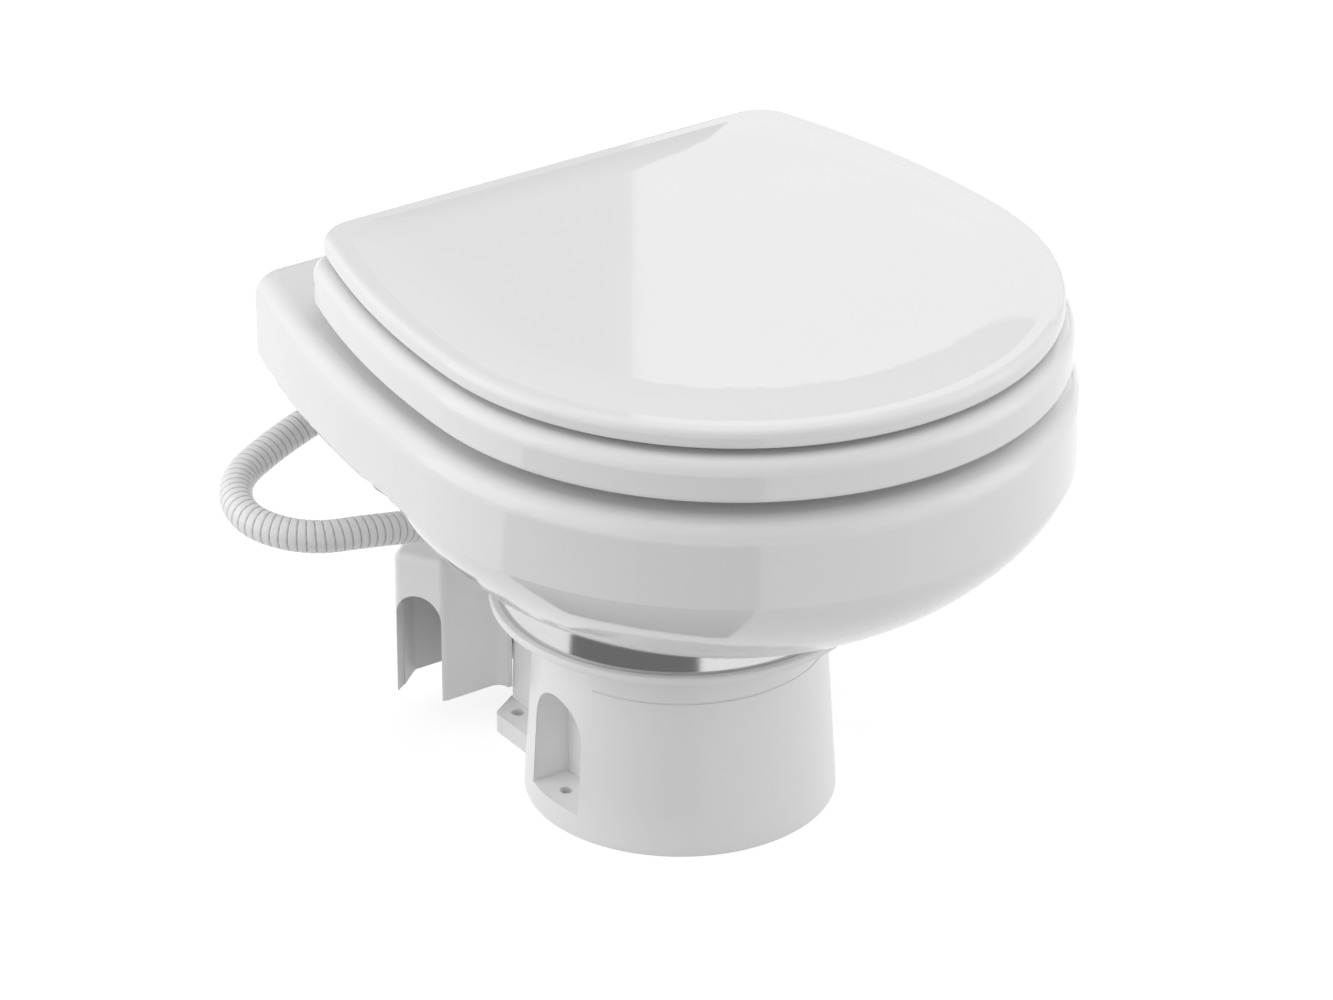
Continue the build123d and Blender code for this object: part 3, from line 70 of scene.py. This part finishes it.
def link(name, mesh):
    """Object of a mesh, in the scene."""
    obj = bpy.data.objects.new(name, mesh)
    scene.collection.objects.link(obj)
    return obj


def grid_mesh(name, rings, closed=True):
    """Smooth mesh through rings of points that all have the same count."""
    count = len(rings[0])
    points = [point for ring in rings for point in ring]
    faces = []
    for row in range(len(rings) - 1):
        for column in range(count if closed else count - 1):
            here = row * count + column
            after = row * count + (column + 1) % count
            faces.append((here, after, after + count, here + count))
    mesh = bpy.data.meshes.new(name)
    mesh.from_pydata(points, [], faces)
    mesh.update()
    mesh.shade_smooth()
    return mesh


# Rinse hose: its route, from the valve to the bowl's inlet pipe, as control points

hose_radius = 0.0095
hose_groove = 0.0006
rib_pitch = 0.0046
rings_per_rib = 10
hose_sides = 48
route_resolution = 48
groove_narrowness = 3.4
groove_roundness = 1.5
hose_route = [
    (-0.0411, 0.1271, 0.141),
    (-0.076, 0.1144, 0.141),
    (-0.112, 0.097, 0.155),
    (-0.147, 0.093, 0.164),
    (-0.185, 0.103, 0.165),
    (-0.206, 0.136, 0.169),
    (-0.193, 0.171, 0.175),
    (-0.157, 0.185, 0.182),
    (-0.122, 0.189, 0.191),
    (-0.088, 0.188, 0.203),
    (-0.050, 0.188, 0.203),
]


def spline_points(name, route, resolution):
    """Points along a smooth curve whose control points are the route."""
    curve = bpy.data.curves.new(name, "CURVE")
    curve.dimensions = "3D"
    curve.resolution_u = resolution
    spline = curve.splines.new("NURBS")
    spline.points.add(len(route) - 1)
    for point, place in zip(spline.points, route):
        point.co = (*place, 1.0)
    spline.order_u = 3
    spline.use_endpoint_u = True
    obj = bpy.data.objects.new(name, curve)
    scene.collection.objects.link(obj)
    bpy.context.view_layer.update()
    mesh = bpy.data.meshes.new_from_object(obj.evaluated_get(bpy.context.evaluated_depsgraph_get()))
    points = [vertex.co.copy() for vertex in mesh.vertices]
    bpy.data.objects.remove(obj)
    bpy.data.meshes.remove(mesh)
    return points


def even_points(points, step):
    """The same line with points an even step apart."""
    lengths = [0.0]
    for a, b in zip(points, points[1:]):
        lengths.append(lengths[-1] + (b - a).length)
    count = round(lengths[-1] / step)
    made = []
    index = 0
    for number in range(count + 1):
        target = lengths[-1] * number / count
        while index < len(lengths) - 2 and lengths[index + 1] < target:
            index += 1
        span = lengths[index + 1] - lengths[index]
        share = (target - lengths[index]) / span
        made.append(points[index].lerp(points[index + 1], share))
    return made, lengths[-1]


def groove_depth(turn_share):
    """Depth of the groove between two turns, from 0 on a turn's back to 1 in the groove's middle."""
    away = abs((turn_share % 1.0) - 0.5) * 2.0
    return max(0.0, 1.0 - (1.0 - away) * groove_narrowness) ** groove_roundness


def make_hose():
    """Hose whose reinforcing turns wind round it as one helix."""
    smooth_route = spline_points("hose_line", hose_route, route_resolution)
    line, length = even_points(smooth_route, rib_pitch / rings_per_rib)
    rings = []
    depths = []
    for index, place in enumerate(line):
        before = line[max(index - 1, 0)]
        after = line[min(index + 1, len(line) - 1)]
        tangent = (after - before).normalized()
        across = Vector((0.0, 0.0, 1.0)).cross(tangent).normalized()
        other = tangent.cross(across)
        distance = length * index / (len(line) - 1)
        ring = []
        for side in range(hose_sides):
            angle = 2.0 * math.pi * side / hose_sides
            depth = groove_depth(distance / rib_pitch - side / hose_sides)
            radius = hose_radius - hose_groove * depth
            ring.append(place + (across * math.cos(angle) + other * math.sin(angle)) * radius)
            depths.append(depth)
        rings.append(ring)
    mesh = grid_mesh("rinse_hose_tube", rings)
    # The groove depth also goes to the hose's material, where it paints shade into the grooves.
    groove = mesh.attributes.new("groove", "FLOAT", "POINT")
    groove.data.foreach_set("value", depths)
    return link("rinse_hose_tube", mesh), line, length


hose, hose_line, spline_length = make_hose()
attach(hose, "toilet")
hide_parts("rinse_hose")


# Materials

def new_material(name):
    """Material with its node tree, links and Principled shader."""
    made = bpy.data.materials.new(name)
    made.use_nodes = True
    tree = made.node_tree
    return made, tree, tree.nodes["Principled BSDF"]


def noise(tree, vector, scale, detail=2.0, roughness=0.5):
    """Noise texture's value socket."""
    node = tree.nodes.new("ShaderNodeTexNoise")
    node.inputs["Scale"].default_value = scale
    node.inputs["Detail"].default_value = detail
    node.inputs["Roughness"].default_value = roughness
    tree.links.new(vector, node.inputs["Vector"])
    return node.outputs["Fac"]


def ranged(tree, value, low, high, from_low=0.3, from_high=0.7):
    """Value mapped to a range."""
    node = tree.nodes.new("ShaderNodeMapRange")
    node.inputs["From Min"].default_value = from_low
    node.inputs["From Max"].default_value = from_high
    node.inputs["To Min"].default_value = low
    node.inputs["To Max"].default_value = high
    tree.links.new(value, node.inputs["Value"])
    return node.outputs["Result"]


def mixed(tree, factor, first, second):
    """Colour mixed between two by a factor socket."""
    node = tree.nodes.new("ShaderNodeMix")
    node.data_type = "RGBA"
    node.inputs["A"].default_value = (*first, 1.0)
    node.inputs["B"].default_value = (*second, 1.0)
    tree.links.new(factor, node.inputs["Factor"])
    return node.outputs["Result"]


def object_coordinates(tree):
    """Object coordinates socket, in metres."""
    return tree.nodes.new("ShaderNodeTexCoord").outputs["Object"]


def bumped(tree, shader, height, distance, strength=1.0, edge_radius=0.0):
    """Bump on the shader's normal, with edges rounded by a small radius where given."""
    bump = tree.nodes.new("ShaderNodeBump")
    bump.inputs["Strength"].default_value = strength
    bump.inputs["Distance"].default_value = distance
    tree.links.new(height, bump.inputs["Height"])
    if edge_radius:
        bevel = tree.nodes.new("ShaderNodeBevel")
        bevel.samples = 6
        bevel.inputs["Radius"].default_value = edge_radius
        tree.links.new(bevel.outputs["Normal"], bump.inputs["Normal"])
    tree.links.new(bump.outputs["Normal"], shader.inputs["Normal"])


def gloss_material(name, colour, tint, roughness, wave_scale, wave_height, coat=0.0, edge_radius=0.0):
    """Glossy moulded or glazed surface: faint clouding, a little uneven gloss and long shallow waves."""
    made, tree, shader = new_material(name)
    place = object_coordinates(tree)
    cloud = noise(tree, place, 9.0, 3.0)
    tree.links.new(mixed(tree, ranged(tree, cloud, 0.0, 1.0), colour, tint), shader.inputs["Base Color"])
    smear = noise(tree, place, 26.0, 4.0, 0.6)
    tree.links.new(ranged(tree, smear, roughness * 0.8, roughness * 1.25), shader.inputs["Roughness"])
    shader.inputs["IOR"].default_value = 1.5
    shader.inputs["Coat Weight"].default_value = coat
    shader.inputs["Coat Roughness"].default_value = 0.04
    bumped(tree, shader, noise(tree, place, wave_scale, 2.0), wave_height, 1.0, edge_radius)
    return made


def moulded_material(name, colour, tint, roughness, edge_radius=0.0008):
    """Satin moulded plastic with a fine spark-eroded grain and faint flow clouds."""
    made, tree, shader = new_material(name)
    place = object_coordinates(tree)
    cloud = noise(tree, place, 14.0, 4.0, 0.6)
    tree.links.new(mixed(tree, ranged(tree, cloud, 0.0, 1.0), colour, tint), shader.inputs["Base Color"])
    tree.links.new(ranged(tree, cloud, roughness * 0.9, roughness * 1.15), shader.inputs["Roughness"])
    shader.inputs["IOR"].default_value = 1.49
    bumped(tree, shader, noise(tree, place, 1600.0, 2.0), 0.00003, 0.5, edge_radius)
    return made


def metal_material(name, colour, roughness, grain, stretch=(1.0, 1.0, 40.0)):
    """Metal with drawn grain along one way."""
    made, tree, shader = new_material(name)
    mapping = tree.nodes.new("ShaderNodeMapping")
    mapping.inputs["Scale"].default_value = stretch
    tree.links.new(object_coordinates(tree), mapping.inputs["Vector"])
    streak = noise(tree, mapping.outputs["Vector"], grain, 4.0, 0.7)
    darker = tuple(0.86 * part for part in colour)
    tree.links.new(mixed(tree, ranged(tree, streak, 0.0, 1.0), colour, darker), shader.inputs["Base Color"])
    shader.inputs["Metallic"].default_value = 1.0
    tree.links.new(ranged(tree, streak, roughness * 0.8, roughness * 1.3), shader.inputs["Roughness"])
    bumped(tree, shader, streak, 0.00002, 0.4, 0.0003)
    return made


def rubber_material(name, colour):
    """Matt surface of rubber, carbon or ferrite, a little mottled."""
    made, tree, shader = new_material(name)
    place = object_coordinates(tree)
    mottle = noise(tree, place, 300.0, 4.0)
    lighter = tuple(min(1.0, 1.3 * part) for part in colour)
    tree.links.new(mixed(tree, mottle, colour, lighter), shader.inputs["Base Color"])
    tree.links.new(ranged(tree, mottle, 0.65, 0.85), shader.inputs["Roughness"])
    bumped(tree, shader, mottle, 0.00005, 0.4)
    return made


def hose_material():
    """Milky clear hose, with painted shade: a thin dark grey line in each groove, darker the deeper the
    groove.
    """
    made, tree, shader = new_material("hose_plastic")
    groove = tree.nodes.new("ShaderNodeAttribute")
    groove.attribute_name = "groove"
    # Painted shade: the wall's colour darkens towards grey in each groove, by the groove's depth.
    wall_with_painted_groove_shade = mixed(tree, groove.outputs["Fac"], (0.88, 0.88, 0.88), (0.36, 0.36, 0.37))
    tree.links.new(wall_with_painted_groove_shade, shader.inputs["Base Color"])
    cloud = noise(tree, object_coordinates(tree), 160.0, 3.0)
    tree.links.new(ranged(tree, cloud, 0.18, 0.3), shader.inputs["Roughness"])
    shader.inputs["IOR"].default_value = 1.52
    shader.inputs["Subsurface Weight"].default_value = 0.2
    shader.inputs["Subsurface Scale"].default_value = 0.002
    shader.inputs["Subsurface Radius"].default_value = (1.0, 1.0, 1.0)
    bumped(tree, shader, cloud, 0.00006, 0.5)
    return made


finishes = {
    "glazed_ceramic": gloss_material(
        "glazed_ceramic", (0.86, 0.86, 0.86), (0.84, 0.84, 0.845),
        roughness=0.10, wave_scale=11.0, wave_height=0.0002, coat=0.3,
    ),
    "seat_plastic": gloss_material(
        "seat_plastic", (0.87, 0.87, 0.87), (0.86, 0.86, 0.865),
        roughness=0.055, wave_scale=9.0, wave_height=0.0001, coat=0.2,
    ),
    "white_plastic": moulded_material(
        "white_plastic", (0.92, 0.92, 0.92), (0.90, 0.90, 0.905), roughness=0.3
    ),
    "grey_plastic": moulded_material(
        "grey_plastic", (0.13, 0.13, 0.135), (0.10, 0.10, 0.105), roughness=0.42
    ),
    "black_plastic": moulded_material(
        "black_plastic", (0.015, 0.015, 0.016), (0.025, 0.025, 0.026), roughness=0.4
    ),
    "polished_steel": metal_material("polished_steel", (0.74, 0.74, 0.745), roughness=0.13, grain=160.0),
    "steel": metal_material("steel", (0.62, 0.62, 0.63), roughness=0.28, grain=220.0),
    "brass": metal_material("brass", (0.75, 0.55, 0.27), roughness=0.3, grain=220.0),
    "carbon": rubber_material("carbon", (0.03, 0.03, 0.03)),
    "ferrite": rubber_material("ferrite", (0.06, 0.055, 0.055)),
    "rubber": rubber_material("rubber", (0.02, 0.02, 0.02)),
    "white_rubber": rubber_material("white_rubber", (0.72, 0.72, 0.72)),
    "hose_plastic": hose_material(),
}
for part in frame["record"]["subparts"]:
    obj = nodes[part["node"]]
    for material_slot in obj.material_slots:
        material_slot.material = finishes[part["material_slot"]]
hose.data.materials.append(finishes["hose_plastic"])


# Floor and soft studio light

surround_level = 0.37
left_level = 0.9
right_level = 0.85
high_level = 0.25
left_panel_level = 0.7
right_panel_level = 0.6
top_panel_level = 0.5
rear_panel_level = 0.65
dark_card_level = 0.2
floor_half_width = 14.0
floor_tone = 0.6
floor_shadow_tone = 0.3
floor_glow = 0.8
card_near = 0.13
card_far = 1.5
card_height = 0.002
card_turns = (-62.0, -38.0, -14.0, 10.0)
object_middle = Vector((0.0, -0.02, 0.25))


def add_floor():
    """Large plain floor, white to the camera, which keeps the object's shadow."""
    half = floor_half_width
    corners = [(-half, -half, 0), (half, -half, 0), (half, half, 0), (-half, half, 0)]
    mesh = bpy.data.meshes.new("floor")
    mesh.from_pydata(corners, [], [(0, 1, 2, 3)])
    obj = link("floor", mesh)
    made = bpy.data.materials.new("floor")
    made.use_nodes = True
    tree = made.node_tree
    tree.nodes.remove(tree.nodes["Principled BSDF"])
    plain = tree.nodes.new("ShaderNodeBsdfDiffuse")
    plain.inputs["Color"].default_value = (floor_tone, floor_tone, floor_tone, 1.0)
    shaded = tree.nodes.new("ShaderNodeBsdfDiffuse")
    shaded.inputs["Color"].default_value = (floor_shadow_tone, floor_shadow_tone, floor_shadow_tone, 1.0)
    glow = tree.nodes.new("ShaderNodeEmission")
    glow.inputs["Strength"].default_value = floor_glow
    both = tree.nodes.new("ShaderNodeAddShader")
    tree.links.new(shaded.outputs["BSDF"], both.inputs[0])
    tree.links.new(glow.outputs["Emission"], both.inputs[1])
    mix = tree.nodes.new("ShaderNodeMixShader")
    tree.links.new(seen_directly(tree), mix.inputs["Fac"])
    tree.links.new(plain.outputs["BSDF"], mix.inputs[1])
    tree.links.new(both.outputs["Shader"], mix.inputs[2])
    tree.links.new(mix.outputs["Shader"], tree.nodes["Material Output"].inputs["Surface"])
    mesh.materials.append(made)


def maths(tree, operation, first, second):
    """Maths node's value socket; each input is a socket or a number."""
    node = tree.nodes.new("ShaderNodeMath")
    node.operation = operation
    for index, value in enumerate((first, second)):
        if isinstance(value, (int, float)):
            node.inputs[index].default_value = value
        else:
            tree.links.new(value, node.inputs[index])
    return node.outputs["Value"]


def seen_directly(tree, glossy=True):
    """1 for camera rays, and for mirror and clear rays where asked."""
    path = tree.nodes.new("ShaderNodeLightPath")
    if not glossy:
        return path.outputs["Is Camera Ray"]
    both = maths(tree, "MAXIMUM", path.outputs["Is Camera Ray"], path.outputs["Is Glossy Ray"])
    return maths(tree, "MAXIMUM", both, path.outputs["Is Transmission Ray"])


def along(tree, direction, way):
    """How far a direction socket points a given way, from -1 to 1."""
    node = tree.nodes.new("ShaderNodeVectorMath")
    node.operation = "DOT_PRODUCT"
    tree.links.new(direction, node.inputs[0])
    node.inputs[1].default_value = way
    return node.outputs["Value"]


def add_world():
    """Studio round the object: lighter to the left, right and above, darker in front."""
    world = bpy.data.worlds.new("studio")
    scene.world = world
    world.use_nodes = True
    tree = world.node_tree
    direction = tree.nodes.new("ShaderNodeTexCoord").outputs["Generated"]
    side = along(tree, direction, camera_right)
    left = ranged(tree, side, left_level, 0.0, -0.75, -0.35)
    right = ranged(tree, side, 0.0, right_level, 0.45, 0.85)
    high = ranged(tree, along(tree, direction, (0.0, 0.0, 1.0)), 0.0, high_level, 0.35, 0.85)
    level = maths(tree, "ADD", maths(tree, "ADD", left, right), maths(tree, "ADD", high, surround_level))
    path = seen_directly(tree, False)
    lit = maths(tree, "MULTIPLY", level, maths(tree, "SUBTRACT", 1.0, path))
    strength = maths(tree, "MAXIMUM", path, lit)
    tree.nodes["Background"].inputs["Color"].default_value = (1.0, 1.0, 1.0, 1.0)
    tree.links.new(strength, tree.nodes["Background"].inputs["Strength"])


def add_panel(name, place, towards, width, height, radiance):
    """Soft box that shines from a place towards a point."""
    data = bpy.data.lights.new(name, "AREA")
    data.shape = "RECTANGLE"
    data.size = width
    data.size_y = height
    data.energy = radiance * math.pi * width * height
    obj = bpy.data.objects.new(name, data)
    obj.location = place
    obj.rotation_mode = "QUATERNION"
    obj.rotation_quaternion = (Vector(towards) - Vector(place)).to_track_quat("-Z", "Y")
    obj.visible_camera = False
    scene.collection.objects.link(obj)


def from_middle(right, front, up):
    """Place measured from the object's middle, to the camera's right, away in front of it and up."""
    return object_middle + camera_front * front + camera_right * right + Vector((0.0, 0.0, up))


def add_dark_card():
    """Dark card on the floor in front, seen only in glossy surfaces."""
    points = []
    for reach in (card_near, card_far):
        for degrees in card_turns:
            turn = math.radians(degrees)
            way = camera_right * math.sin(turn) - camera_front * math.cos(turn)
            points.append(way * reach + Vector((0.0, 0.0, card_height)))
    mesh = bpy.data.meshes.new("dark_card")
    count = len(card_turns)
    faces = [(column, column + 1, column + count + 1, column + count) for column in range(count - 1)]
    mesh.from_pydata(points, [], faces)
    obj = link("dark_card", mesh)
    made = bpy.data.materials.new("dark_card")
    made.use_nodes = True
    tree = made.node_tree
    tree.nodes.remove(tree.nodes["Principled BSDF"])
    glow = tree.nodes.new("ShaderNodeEmission")
    glow.inputs["Strength"].default_value = dark_card_level
    tree.links.new(glow.outputs["Emission"], tree.nodes["Material Output"].inputs["Surface"])
    mesh.materials.append(made)
    obj.visible_camera = False
    obj.visible_diffuse = False
    obj.visible_transmission = False
    obj.visible_shadow = False


add_floor()
add_world()
add_dark_card()
rear_place = from_middle(right=0.75, front=2.0, up=0.725)
add_panel("rear_panel", rear_place, rear_place - camera_front, 1.6, 1.05, rear_panel_level)
left_place = from_middle(right=-1.6, front=-0.2, up=0.5)
add_panel("left_panel", left_place, object_middle, 1.2, 1.4, left_panel_level)
right_place = from_middle(right=1.7, front=-0.1, up=0.5)
add_panel("right_panel", right_place, object_middle, 1.0, 1.4, right_panel_level)
top_place = from_middle(right=0.0, front=0.0, up=2.2)
add_panel("top_panel", top_place, object_middle, 1.8, 1.8, top_panel_level)

scene.view_settings.view_transform = "Standard"
